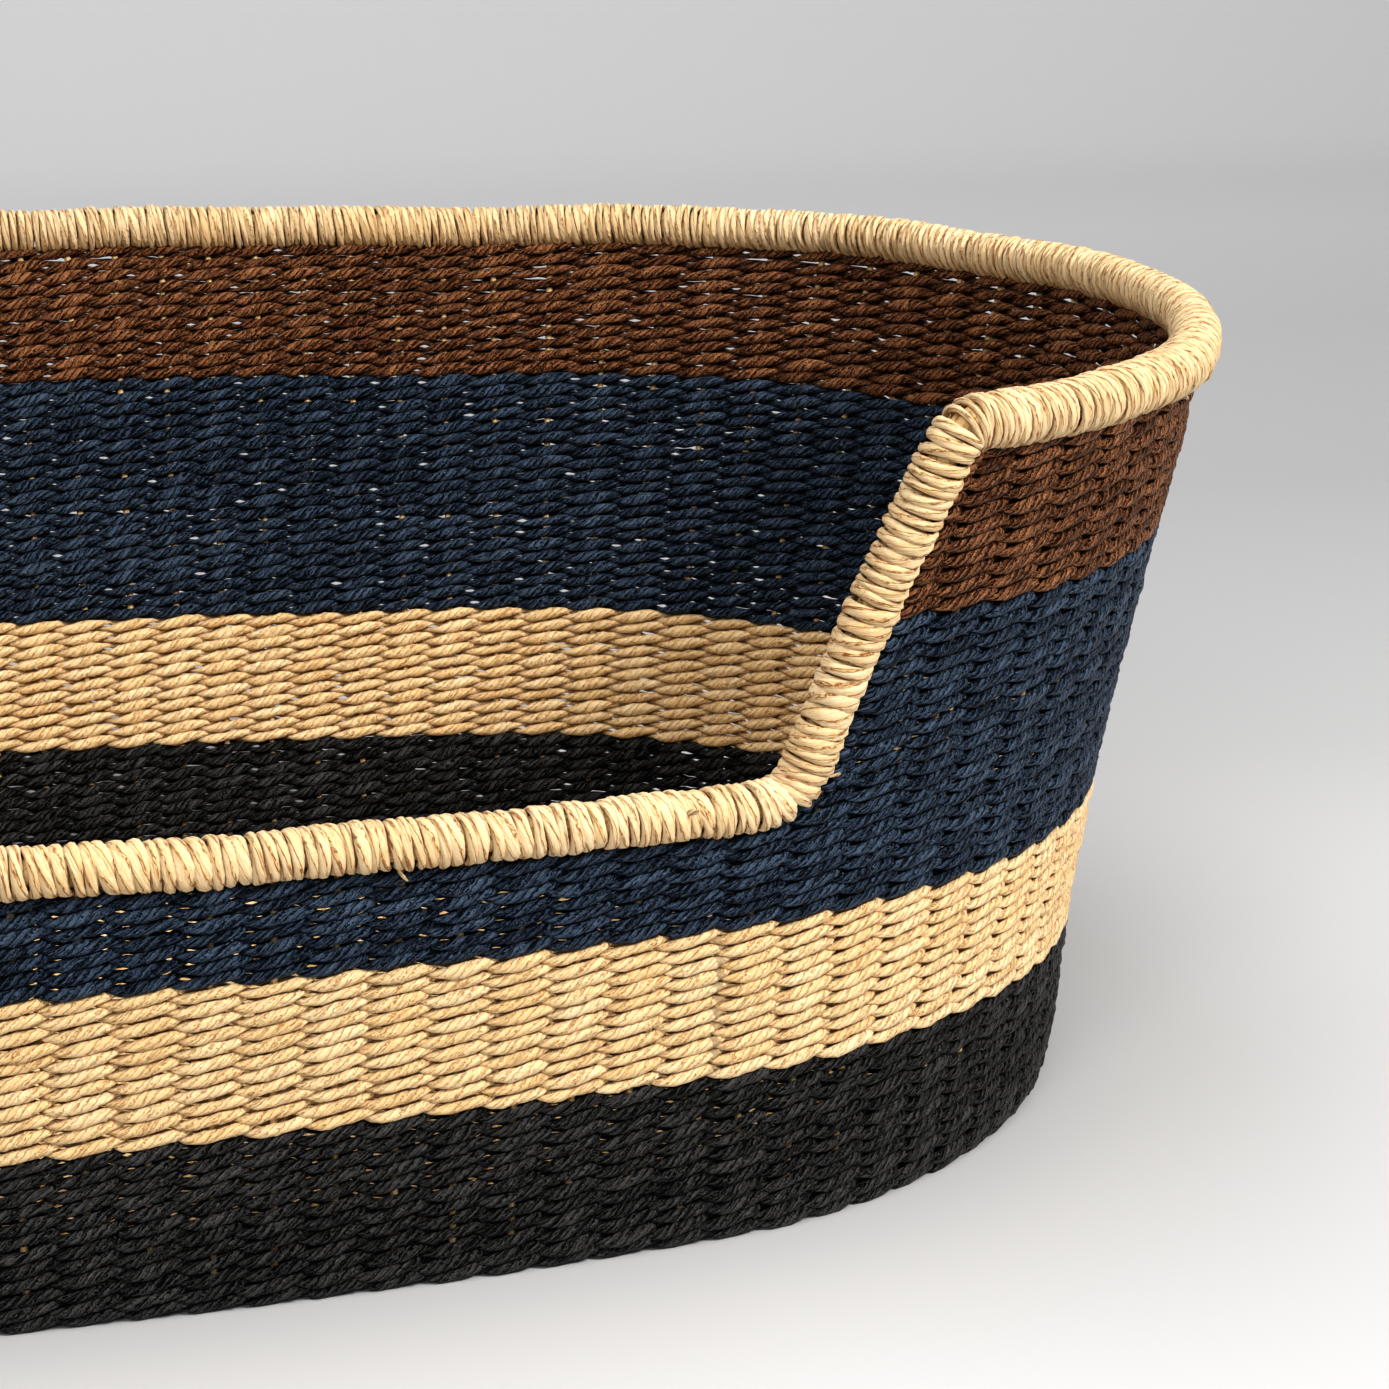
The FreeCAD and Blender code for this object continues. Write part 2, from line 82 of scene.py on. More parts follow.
# ---------------------------------------------------------------- the wall's middle surface
def plan_arcs(per_end, per_side):
    """The four arcs: centre x, centre y, base radius, first and last direction, stakes."""
    return np.array([
        (END_CENTRE, 0, END_RADIUS, -JOIN, JOIN, per_end),
        (0, -SIDE_CENTRE, SIDE_RADIUS, JOIN, math.pi - JOIN, per_side),
        (-END_CENTRE, 0, END_RADIUS, math.pi - JOIN, math.pi + JOIN, per_end),
        (0, SIDE_CENTRE, SIDE_RADIUS, math.pi + JOIN, TURN - JOIN, per_side),
    ])


def plan(u, arcs):
    """Centre, base radius and direction at u stakes along the oval; u runs anticlockwise."""
    ends = np.cumsum(arcs[:, 5])
    u = np.mod(u, ends[-1])
    which = np.minimum(np.searchsorted(ends, u, side="right"), 3)
    arc = arcs[which]
    share = (u - (ends[which] - arc[:, 5])) / arc[:, 5]
    direction = arc[:, 3] + share * (arc[:, 4] - arc[:, 3])
    return arc[:, :2], arc[:, 2], direction


def flare(z):
    """How far the wall's middle surface stands out of the base's plan at height z."""
    return math.sqrt(FLARE_RADIUS**2 - FLARE_DROP**2) - np.sqrt(FLARE_RADIUS**2 - (z + FLARE_DROP)**2)


def flare_lean(z):
    """The wall's outward lean from upright at height z."""
    return np.arcsin((z + FLARE_DROP) / FLARE_RADIUS)


WALL_ARCS = plan_arcs(STAKES_PER_END, STAKES_PER_SIDE)
STAKES = int(WALL_ARCS[:, 5].sum())


def smooth_noise(count, length, seed, closed=True):
    """count samples of soft random waves, with about one wave to each length samples."""
    rng = np.random.default_rng(seed)
    knots = max(4, int(count / length))
    values = rng.uniform(-1, 1, knots + 3)
    if closed:
        values[knots:] = values[:3]
    where = np.arange(count) / count * knots
    low = where.astype(int)
    blend = where - low
    blend = blend * blend * (3 - 2 * blend)
    return values[low] * (1 - blend) + values[low + 1] * blend


def eased(value):
    """0 to 1 as value goes from 0 to 1, with a soft start and end."""
    value = np.clip(value, 0, 1)
    return value * value * (3 - 2 * value)


HEEL_TUCK, HEEL_HEIGHT = 1.5, 22.0
RIGHT_RIM_TUCK = 3.6
FRONT_TOP = 138.0
FRONT_SETTLED, FRONT_RAISED, FRONT_BANDS_RAISED = 2.3, 1.8, 1.4


def hand_wobble(points):
    """Slow unevenness of a hand-made wall, the same for every piece of it.

    There is none at the ground but the heel, tucked in at the two ends. The right end's rim is
    drawn in on its front side. The low front rim has settled right of its middle and stands
    higher left of it, and the rows below its right part are raised.
    """
    x, y, z = points[:, 0], points[:, 1], points[:, 2]
    height = np.clip(z / RIM_TOP, 0, 1)
    around = np.arctan2(y, x)
    out = 1.5 * np.sin(3 * around + 0.6) + 1.0 * np.sin(7 * around + 2.1 + 2 * height)
    out = (out + 0.7 * np.sin(13 * around - 1.0 + 3 * height) + 0.8) * height**1.3
    ends = eased((np.abs(x) - 190) / 150)
    out -= HEEL_TUCK * ends * eased(1 - z / HEEL_HEIGHT)
    out -= RIGHT_RIM_TUCK * eased((x - 230) / 110) * eased((z - 200) / 45) * eased((80 - y) / 150)
    rise = 0.6 * np.sin(5 * around + 0.4) + 0.45 * np.sin(11 * around + 1.9)
    rise = (rise + 0.35 * np.sin(23 * around + 5 * height)) * height
    front = eased(-y / 110) * eased(z / FRONT_TOP) * (1 - eased((z - 140) / 70))
    rise -= FRONT_SETTLED * front * eased((np.abs(x) + 10) / 90) * (x > -10)
    rise += FRONT_RAISED * front * eased((-x - 30) / 60)
    middle_rows = np.sin(math.pi * np.clip(z / FRONT_TOP, 0, 1))
    rise += FRONT_BANDS_RAISED * eased(-y / 110) * middle_rows * eased((x + 20) / 80)
    moved = points.copy()
    length = np.maximum(np.hypot(x, y), 1e-6)
    moved[:, 0] += x / length * out
    moved[:, 1] += y / length * out
    moved[:, 2] = z + rise
    return moved


# ---------------------------------------------------------------- meshes
def make_mesh(name, points, faces, attributes, material, nodes):
    """One smooth mesh piece of the basket, from points in millimetres and quad faces."""
    mesh = bpy.data.meshes.new(name)
    mesh.vertices.add(len(points))
    mesh.vertices.foreach_set("co", (points * MM).astype(np.float32).ravel())
    mesh.loops.add(faces.size)
    mesh.loops.foreach_set("vertex_index", faces.astype(np.int32).ravel())
    mesh.polygons.add(len(faces))
    starts = np.arange(0, faces.size, faces.shape[1], dtype=np.int32)
    mesh.polygons.foreach_set("loop_start", starts)
    mesh.polygons.foreach_set("use_smooth", np.ones(len(faces), dtype=bool))
    for key, values in attributes.items():
        layer = mesh.attributes.new(key, "FLOAT_VECTOR", "POINT")
        layer.data.foreach_set("vector", values.astype(np.float32).ravel())
    mesh.update(calc_edges=True)
    mesh.validate()
    mesh.materials.append(material)
    piece = bpy.data.objects.new(name, mesh)
    bpy.context.collection.objects.link(piece)
    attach(piece, "root")
    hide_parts(*nodes)
    return piece


def path_direction(path, closed):
    if closed:
        along = np.roll(path, -1, axis=0) - np.roll(path, 1, axis=0)
    else:
        along = np.gradient(path, axis=0)
    return along / (np.linalg.norm(along, axis=1)[:, None] + 1e-12)


class Bundle:
    """Tubes gathered into one piece."""

    def __init__(self):
        self.points, self.faces, self.fibre, self.tint, self.count = [], [], [], [], 0

    def add_tube(self, path, out, half_out, half_side, sides, twist, tint, closed=False, lobes=0.1,
                 folds=0.0):
        """A strand along a path.

        out points away from the wall at each sample; half_out and half_side are the half
        thicknesses along it and across it; twist is the fibres' turn in radians per mm. lobes
        and folds are the depths of the section's two and three bulges, which turn with the fibres.
        """
        count = len(path)
        along = path_direction(path, closed)
        out = out - (out * along).sum(1)[:, None] * along
        out /= np.linalg.norm(out, axis=1)[:, None] + 1e-12
        side = np.cross(along, out)
        steps = np.linalg.norm(np.diff(path, axis=0), axis=1)
        run = np.concatenate([[0], np.cumsum(steps)])
        angle = np.arange(sides) / sides * TURN
        theta = angle[None, :] + np.zeros((count, 1))
        turned = theta + (run * twist)[:, None]
        swell = 1 + lobes * np.cos(2 * turned) + folds * np.cos(3 * turned + 1.3)
        across = np.cos(theta) * half_out[:, None] * swell
        along_side = np.sin(theta) * half_side[:, None] * swell
        ring = (path[:, None, :] + out[:, None, :] * across[:, :, None]
                + side[:, None, :] * along_side[:, :, None])
        index = np.arange(count * sides).reshape(count, sides) + self.count
        following = np.roll(index, -1, axis=0) if closed else index[1:]
        current = index if closed else index[:-1]
        quads = np.stack([current, following, np.roll(following, -1, 1), np.roll(current, -1, 1)], 2)
        self.points.append(ring.reshape(-1, 3))
        self.faces.append(quads.reshape(-1, 4))
        fibre = np.stack([np.cos(turned), np.sin(turned), np.repeat(run[:, None], sides, 1)], 2)
        self.fibre.append(fibre.reshape(-1, 3))
        self.tint.append(np.repeat(tint[:, None, :], sides, 1).reshape(-1, 3))
        self.count += count * sides

    def piece(self, name, material, slot, nodes, wobble=True):
        points = np.concatenate(self.points)
        if wobble:
            points = hand_wobble(points)
        points[:, 2] = np.maximum(points[:, 2], LOWEST_POINT)
        attributes = {"fibre": np.concatenate(self.fibre), "tint": np.concatenate(self.tint)}
        return make_mesh(name, points, np.concatenate(self.faces), attributes, material, nodes)


# ---------------------------------------------------------------- twined rows
SAMPLES = 8
STRAND_SIDES = 8
LOOP_STEPS = np.array([0.0, 0.25, 0.6, 1.1, 1.7, 2.4, 3.4, 4.8, 6.6])
FAR_FROM_ENDS = 99.0
FLARED_SPACING = END_RADIUS * 2 * JOIN / STAKES_PER_END * 1.15
PINCHED_SHARE, PARTED_SHARE = 0.30, 0.14
PINCH, PARTING = 0.13, 0.30
# A strand's half height in shares of the row's, and its half thickness across the wall in mm:
# where it faces out, and the change to where it passes between two stakes.
HALF_UP, HALF_UP_LOSS = 0.495, 0.215
HALF_OUT, HALF_OUT_GAIN = 1.28, 0.80
# The loop round the last stake of an open row, in mm.
LOOP_HALF_UP, LOOP_HALF_OUT, LOOP_REACH = 2.15, 1.9, 2.3
# The lowest row's height, offset and lean; it rolls in under the wall.
FOOT_ROW = 3.5, -0.7, math.radians(26)
END_UNDER_RIM, CORNER_RUN_IN = 0.6, 2.2


def row_surface(u, arcs, offset, z, lean):
    """Points of a row's centreline, and its outward and upward directions.

    lean is the outward direction's tilt below level: the wall's lean on the wall, a
    quarter turn on the base.
    """
    centre, radius, direction = plan(u, arcs)
    lean = np.broadcast_to(lean, u.shape)[:, None]
    level = np.stack([np.cos(direction), np.sin(direction), np.zeros_like(direction)], 1)
    point = np.zeros((len(u), 3))
    point[:, :2] = centre + level[:, :2] * (radius + offset)[:, None]
    point[:, 2] = z
    up = np.array([0.0, 0.0, 1.0])
    out = level * np.cos(lean) - up * np.sin(lean)
    rising = level * np.sin(lean) + up * np.cos(lean)
    return point, out, rising


def softened_square(value, softness=0.22):
    """A wave from -1 to 1 with flatter tops and steeper sides."""
    return value / np.sqrt(value * value + softness) * math.sqrt(1 + softness)


def row_stations(arcs, span):
    """Where along the oval a row is sampled, and each sample's distance from the row's two ends.

    Samples are close together near an open row's ends, where the strands curve most.
    """
    stakes = arcs[:, 5].sum()
    if span is None:
        u = np.linspace(0, stakes, int(stakes * SAMPLES), endpoint=False)
        far = np.full(len(u), FAR_FROM_ENDS)
        return u, far, far
    lead = LOOP_STEPS / FLARED_SPACING
    count = int((span[1] - span[0] - 2 * lead[-1]) * SAMPLES)
    middle = np.linspace(span[0] + lead[-1], span[1] - lead[-1], count)[1:-1]
    u = np.concatenate([span[0] + lead, middle, span[1] - lead[::-1]])
    return u, (u - span[0]) * FLARED_SPACING, (span[1] - u) * FLARED_SPACING


def twined_row(bundle, arcs, offset, z, lean, span, seed, height=ROW_PITCH):
    """Two strands that pass each other between every two stakes, one each side of each stake.

    At both ends of an open row the two strands meet, round the last stake.
    """
    rng = np.random.default_rng(seed)
    u, from_start, to_end = row_stations(arcs, span)
    count, closed = len(u), span is None
    stitches = int(2 * arcs[:, 5].sum()) + 8
    looseness = rng.normal(0, 1, stitches)
    pinched = rng.random(stitches) < PINCHED_SHARE
    parted = rng.random(stitches) < PARTED_SHARE
    row_shift = 0.20 * smooth_noise(count, SAMPLES * 5, seed + 1, closed)
    drift = 0.10 * smooth_noise(count, SAMPLES * 2.5, seed + 2, closed) + rng.uniform(-0.06, 0.06)
    parting = PARTING * parted[np.round(u + drift).astype(int) % stitches]
    end_distance = np.minimum(from_start, to_end)
    near_end = np.clip(1.3 - end_distance / 5.0, 0, 1)
    end_curve = np.sqrt(1 - (1 - np.clip(end_distance / 2.4, 0, 1))**2)
    for strand in (0, 1):
        phase = u + drift - 0.5 + strand
        facing = np.cos(math.pi * phase)
        passing = np.sin(math.pi * phase)
        slant = (2 / math.pi) * np.arcsin(np.clip(passing, -1, 1)) * 0.8 + 0.2 * passing
        stitch = np.floor(phase + 0.5).astype(int) % stitches
        loose = looseness[stitch] * facing**2
        pinch = PINCH * pinched[stitch] * facing**10
        swell = 1 + 0.07 * smooth_noise(count, SAMPLES * 0.6, seed + 5 + strand, closed)
        half_up = height * (HALF_UP - HALF_UP_LOSS * passing**4 - pinch) * swell
        half_up = half_up * (1 + 0.06 * loose) * (1 - parting * passing**6)
        half_out = (HALF_OUT + HALF_OUT_GAIN * passing**4 + 0.10 * loose) * (2 - swell)
        reach = (STAKE_RADIUS + 1.05) * softened_square(facing) + 0.16 * loose * np.sign(facing)
        reach = reach + 0.18 * smooth_noise(count, SAMPLES * 2, seed + 9 + strand, closed)
        lift = height * (0.325 + 0.03 * loose) * slant + row_shift
        lift = lift + height * 0.035 * smooth_noise(count, SAMPLES * 0.7, seed + 13 + strand, closed)
        if not closed:
            side = (LOOP_REACH - 2 * LOOP_REACH * strand) * end_curve + 0.1 - 0.2 * strand
            lift = lift * (1 - near_end) + 0.35 * looseness[2] * near_end
            reach = reach * (1 - near_end) + side * near_end
            half_up = half_up * (1 - near_end) + (LOOP_HALF_UP + 0.2 * looseness[strand]) * near_end
            half_out = half_out * (1 - near_end) + LOOP_HALF_OUT * near_end
        point, out, rising = row_surface(u, arcs, offset, z, lean)
        path = point + out * reach[:, None] + rising * lift[:, None]
        tint = np.stack([
            np.full(count, rng.uniform(0, 1)),
            0.5 + 0.5 * np.clip(loose * 0.5, -1, 1),
            0.5 + 0.5 * smooth_noise(count, SAMPLES * 9, seed + 17 + strand, closed),
        ], 1)
        across = np.cross(path_direction(path, closed), rising)
        bundle.add_tube(path, across, half_out, half_up, STRAND_SIDES, rng.uniform(0.36, 0.5), tint,
                        closed, 0.09, 0.05)


def open_span(z, rim):
    """The run of u that a row above the low front has, from the entry's right side round.

    rim is the centreline of the rim beside that side. The row's end just tucks under it, and
    the rows level with the low front run on into it, so that they fill the corner.
    """
    stop = RIM_RADIUS + (END_UNDER_RIM if z > RIM_LOW + 2 else -CORNER_RUN_IN)
    u = np.linspace(-STAKES_PER_SIDE / 2, STAKES_PER_END / 2, 4001)
    points = row_surface(u, WALL_ARCS, flare(z), z, 0.0)[0]
    apart = np.linalg.norm(points[:, None] - rim[None], axis=2).min(axis=1)
    start = float(u[np.nonzero(apart < stop)[0][-1]])
    return start, STAKES_PER_END * 2 + STAKES_PER_SIDE - start


def wall_rows(first, last, rim):
    """A bundle of the wall's rows from first up to, not with, last."""
    bundle = Bundle()
    for row in range(first, last):
        z = (row + 0.5) * ROW_PITCH
        offset, lean = flare(z), flare_lean(z)
        if row == 0:
            z, offset, lean = FOOT_ROW
        span = None if row < FULL_ROWS else open_span(z, rim)
        twined_row(bundle, WALL_ARCS, offset, z, lean, span, ROW_SEED + 31 * row)
    return bundle


# ---------------------------------------------------------------- materials
def new_material(name):
    material = bpy.data.materials.new(name)
    material.use_nodes = True
    tree = material.node_tree
    tree.nodes.clear()
    return material, tree


def node(tree, kind, **settings):
    made = tree.nodes.new(kind)
    for key, value in settings.items():
        if key.startswith("in_"):
            slot = key[3:].replace("_", " ")
            made.inputs[int(slot) if slot.isdigit() else slot].default_value = value
        else:
            setattr(made, key, value)
    return made


def ramp(tree, stops, source):
    made = tree.nodes.new("ShaderNodeValToRGB")
    elements = made.color_ramp.elements
    while len(elements) < len(stops):
        elements.new(0.5)
    for element, (place, colour) in zip(elements, stops):
        element.position = place
        element.color = (*colour, 1)
    tree.links.new(source, made.inputs["Fac"])
    return made.outputs["Color"]


def maths(tree, operation, first, second=0.0):
    made = tree.nodes.new("ShaderNodeMath")
    made.operation = operation
    for socket, value in zip(made.inputs, (first, second)):
        if isinstance(value, (int, float)):
            socket.default_value = value
        else:
            tree.links.new(value, socket)
    return made.outputs[0]


def separate(tree, vector):
    made = tree.nodes.new("ShaderNodeSeparateXYZ")
    tree.links.new(vector, made.inputs[0])
    return made.outputs["X"], made.outputs["Y"], made.outputs["Z"]


def mix_colour(tree, blend_type, factor, first, second):
    made = tree.nodes.new("ShaderNodeMix")
    made.data_type = "RGBA"
    made.blend_type = blend_type
    for socket, value in ((made.inputs[0], factor), (made.inputs[6], first), (made.inputs[7], second)):
        if isinstance(value, (int, float)):
            socket.default_value = value
        elif isinstance(value, tuple):
            socket.default_value = (*value, 1)
        else:
            tree.links.new(value, socket)
    return made.outputs[2]


def straw_material(name, dark, middle, light, crease_shade, roughness=0.6, sheen=0.12, fibre_scale=6.0,
                   bump=0.8, spread=0.5, specular=0.35, pleats=5, depth=0.0010, span=0.33, wander=7.0):
    """Twisted straw: pleats and fibres that wind round each strand, uneven dye, and painted light
    and shade.

    The mesh's fibre vector is (cos, sin, run) of the twisted direction round the strand, and
    its tint vector is how light the strand, the stitch and the stretch of it are. The fourth
    colour is what the colour is multiplied by between the pleats: painted shade in the pleats'
    valleys. The pleats' ridges are also made lighter and their valleys darker, as painted
    highlight and shade.
    """
    material, tree = new_material(name)
    link = tree.links.new
    fibre = node(tree, "ShaderNodeAttribute", attribute_name="fibre")
    tint = node(tree, "ShaderNodeAttribute", attribute_name="tint")
    strand, stitch, stretch = separate(tree, tint.outputs["Vector"])
    across, around, run = separate(tree, fibre.outputs["Vector"])
    shift = maths(tree, "MULTIPLY", strand, 37.0)

    def twisted_noise(scale, run_scale, detail, roughness):
        where = node(tree, "ShaderNodeCombineXYZ")
        link(across, where.inputs["X"])
        link(around, where.inputs["Y"])
        link(maths(tree, "ADD", maths(tree, "MULTIPLY", run, run_scale), shift), where.inputs["Z"])
        made = node(tree, "ShaderNodeTexNoise", noise_dimensions="3D", in_Scale=scale, in_Detail=detail,
                    in_Roughness=roughness)
        link(where.outputs[0], made.inputs["Vector"])
        return made.outputs["Fac"]

    fine = twisted_noise(fibre_scale, 0.045, 5.0, 0.68)
    broad = twisted_noise(2.2, 0.075, 2.0, 0.5)
    bend = maths(tree, "MULTIPLY", maths(tree, "SUBTRACT", broad, 0.5), wander)
    turned = maths(tree, "ARCTAN2", around, across)
    wave = maths(tree, "SINE", maths(tree, "ADD", maths(tree, "MULTIPLY", turned, pleats / 2), bend))
    pleat = maths(tree, "POWER", maths(tree, "ABSOLUTE", wave), 0.55)
    second = maths(tree, "SINE", maths(tree, "ADD", maths(tree, "MULTIPLY", turned, float(pleats + 2)),
                                       maths(tree, "MULTIPLY", bend, 1.7)))

    position = node(tree, "ShaderNodeTexCoord")
    patch = node(tree, "ShaderNodeTexNoise", noise_dimensions="3D", in_Scale=9.0, in_Detail=3.0,
                 in_Roughness=0.55)
    link(position.outputs["Object"], patch.inputs["Vector"])

    def added(total, value, amount):
        centred = maths(tree, "SUBTRACT", value, 0.5)
        return maths(tree, "ADD", total, maths(tree, "MULTIPLY", centred, amount))

    level = added(0.5, fine, 0.75)
    # Painted highlight and shade: the pleats' ridges are made lighter and their valleys darker.
    level = added(level, pleat, 0.28)
    level = added(level, broad, 0.35)
    level = added(level, stitch, 0.14 * spread)
    level = added(level, stretch, 0.18 * spread)
    level = added(level, patch.outputs["Fac"], 0.34 * spread)
    level = added(level, strand, 0.12 * spread)
    colour = ramp(tree, [(0.5 - span, dark), (0.5, middle), (0.5 + span, light)], level)
    # Painted shade: the pleats' valleys are multiplied by the fourth colour.
    valley_shade = ramp(tree, [(0.10, (0, 0, 0)), (0.48, (1, 1, 1))], pleat)
    crease_shaded = mix_colour(tree, "MULTIPLY", 1.0, colour, crease_shade)
    colour = mix_colour(tree, "MIX", valley_shade, crease_shaded, colour)

    height = maths(tree, "ADD", maths(tree, "MULTIPLY", fine, 0.55),
                   maths(tree, "MULTIPLY", pleat, 0.55))
    height = maths(tree, "ADD", height, maths(tree, "MULTIPLY", second, 0.07))
    bumped = node(tree, "ShaderNodeBump", in_Strength=bump, in_Distance=depth)
    link(height, bumped.inputs["Height"])
    rough = node(tree, "ShaderNodeMapRange", in_To_Min=roughness - 0.14, in_To_Max=roughness + 0.16)
    link(fine, rough.inputs["Value"])

    shader = node(tree, "ShaderNodeBsdfPrincipled")
    shader.inputs["Specular IOR Level"].default_value = specular
    shader.inputs["Sheen Weight"].default_value = sheen
    shader.inputs["Sheen Roughness"].default_value = 0.5
    link(colour, shader.inputs["Base Color"])
    link(rough.outputs[0], shader.inputs["Roughness"])
    link(bumped.outputs[0], shader.inputs["Normal"])
    output = node(tree, "ShaderNodeOutputMaterial")
    link(shader.outputs[0], output.inputs["Surface"])
    return material


# On the black, navy and brown dyes the light colour is partly pale fibres and mostly painted highlight:
# bright fibre streaks standing in for the lamp's shine on shiny straw. Each fourth colour is painted shade
# in the pleats' valleys.
MATERIALS = {
    "black": straw_material("black_straw", (0.0002, 0.0002, 0.0002), (0.0022, 0.0020, 0.0019),
                            (0.19, 0.185, 0.18), (0.04, 0.03, 0.03), sheen=0.0, specular=0.20,
                            roughness=0.38, bump=1.0, depth=0.003, span=0.26, spread=0.3),
    "natural": straw_material("natural_straw", (0.60, 0.32, 0.115), (0.83, 0.57, 0.285),
                              (0.96, 0.78, 0.52), (0.50, 0.25, 0.085), spread=0.6, specular=0.2,
                              depth=0.0011),
    "navy": straw_material("navy_straw", (0.0003, 0.0010, 0.0036), (0.0034, 0.0092, 0.0225),
                           (0.20, 0.275, 0.385), (0.04, 0.06, 0.10), sheen=0.0, specular=0.22,
                           roughness=0.38, bump=1.0, depth=0.003, span=0.26, spread=0.3),
    "brown": straw_material("brown_straw", (0.014, 0.0020, 0.0002), (0.076, 0.0215, 0.0065),
                            (0.74, 0.37, 0.185), (0.05, 0.02, 0.01), sheen=0.0, specular=0.22,
                            roughness=0.42, bump=1.0, depth=0.0028, span=0.27, spread=0.35),
    "stake": straw_material("stake_straw", (0.40, 0.22, 0.09), (0.68, 0.46, 0.21), (0.85, 0.66, 0.38),
                            (0.6, 0.45, 0.3), bump=0.4, fibre_scale=7.0),
    "rim": straw_material("rim_straw", (0.55, 0.29, 0.105), (0.76, 0.53, 0.275), (0.92, 0.75, 0.51),
                          (0.42, 0.19, 0.065), spread=0.6, bump=0.9, pleats=4, specular=0.2,
                          depth=0.0011, wander=3.5),
    "base": straw_material("base_straw", (0.52, 0.28, 0.09), (0.78, 0.53, 0.24), (0.92, 0.74, 0.45),
                           (0.5, 0.28, 0.12), spread=0.8, specular=0.2),
}


# ---------------------------------------------------------------- wall
def split_rows(count, size):
    """First and following row of each piece, with about size rows in each."""
    pieces = max(1, round(count / size))
    edges = [round(i * count / pieces) for i in range(pieces + 1)]
    return list(zip(edges[:-1], edges[1:]))


SLOPE_SEARCH = 150, 330


def build_wall(rim):
    """All the wall's rows, a few to a piece. rim is the rim's centreline."""
    x, y = rim[:, 0], rim[:, 1]
    entry_side = rim[(x > SLOPE_SEARCH[0]) & (x < SLOPE_SEARCH[1]) & (y < 0)]
    first = 0
    for band, rows in ROWS.items():
        colour = band.split("_")[0]
        for number, (low, high) in enumerate(split_rows(rows, ROWS_PER_PIECE), 1):
            bundle = wall_rows(first + low, first + high, entry_side)
            bundle.piece(f"{band}_rows_{number}", MATERIALS[colour], f"{colour}_straw",
                         [f"{band}_weft_outer", f"{band}_weft_inner"])
        first += rows


# ---------------------------------------------------------------- stakes
TOP_INSIDE_RIM, NEARBY_RIM = 4.5, 110
STAKE_FOOT, LOWEST_TOP = 5.0, 8.5
FOOT_INSET, CROSS_INSET = 4.0, 5
CROSS_BOW = 0.07


def stake_height(u, foot_z, rim):
    """Top of the stake at u: inside the rim, wherever the rim is there."""
    heights = np.linspace(foot_z, RIM_TOP - 2, 160)
    points = row_surface(np.full(len(heights), u), WALL_ARCS, flare(heights), heights, 0.0)[0]
    near = rim[np.linalg.norm(rim[:, :2] - points[:1, :2], axis=1) < NEARBY_RIM]
    apart = np.linalg.norm(points[:, None] - near[None], axis=2).min(axis=1)
    reached = np.nonzero(apart < TOP_INSIDE_RIM)[0]
    return float(heights[reached[0]]) if len(reached) else RIM_TOP - TOP_INSIDE_RIM


def build_stakes(rim):
    """Every stake from the base up into the rim, and the stakes' runs in the base."""
    groups = {"cross_stakes": Bundle(), "right_end_stakes": Bundle(), "left_end_stakes": Bundle()}
    for stake in range(STAKES):
        u = stake + 0.5
        rng = np.random.default_rng(STAKE_SEED + stake)
        top = stake_height(u, LOWEST_TOP, rim)
        z = np.linspace(STAKE_FOOT, top, 28)
        ones = np.ones_like(z)
        point, out = row_surface(u * ones, WALL_ARCS, flare(z), z, flare_lean(z))[:2]
        x = point[0, 0]
        foot = point[0] - np.array([*(out[0, :2] / np.linalg.norm(out[0, :2])), 0]) * FOOT_INSET
        foot[2] = BASE_LEVEL
        path = np.vstack([foot, point])
        out = np.vstack([out[:1], out])
        sway = 0.25 * smooth_noise(len(path), 6, SWAY_SEED + stake, closed=False)
        path = path + np.cross(out, [0, 0, 1.0]) * sway[:, None]
        end = "right_end_stakes" if x > 0 else "left_end_stakes"
        group = "cross_stakes" if abs(x) < LAST_CROSS_STAKE + 1 else end
        size = STAKE_RADIUS * rng.uniform(0.92, 1.08) * np.ones(len(path))
        tint = np.tile([rng.uniform(0, 1), rng.uniform(0, 1), 0.5], (len(path), 1))
        groups[group].add_tube(path, out, size, size, STAKE_SIDES, 0.02, tint, lobes=0.03)
    base_stakes(groups)
    for name, bundle in groups.items():
        bundle.piece(name.replace("stakes", "stake_rods"), MATERIALS["stake"], "stake_straw", [name])


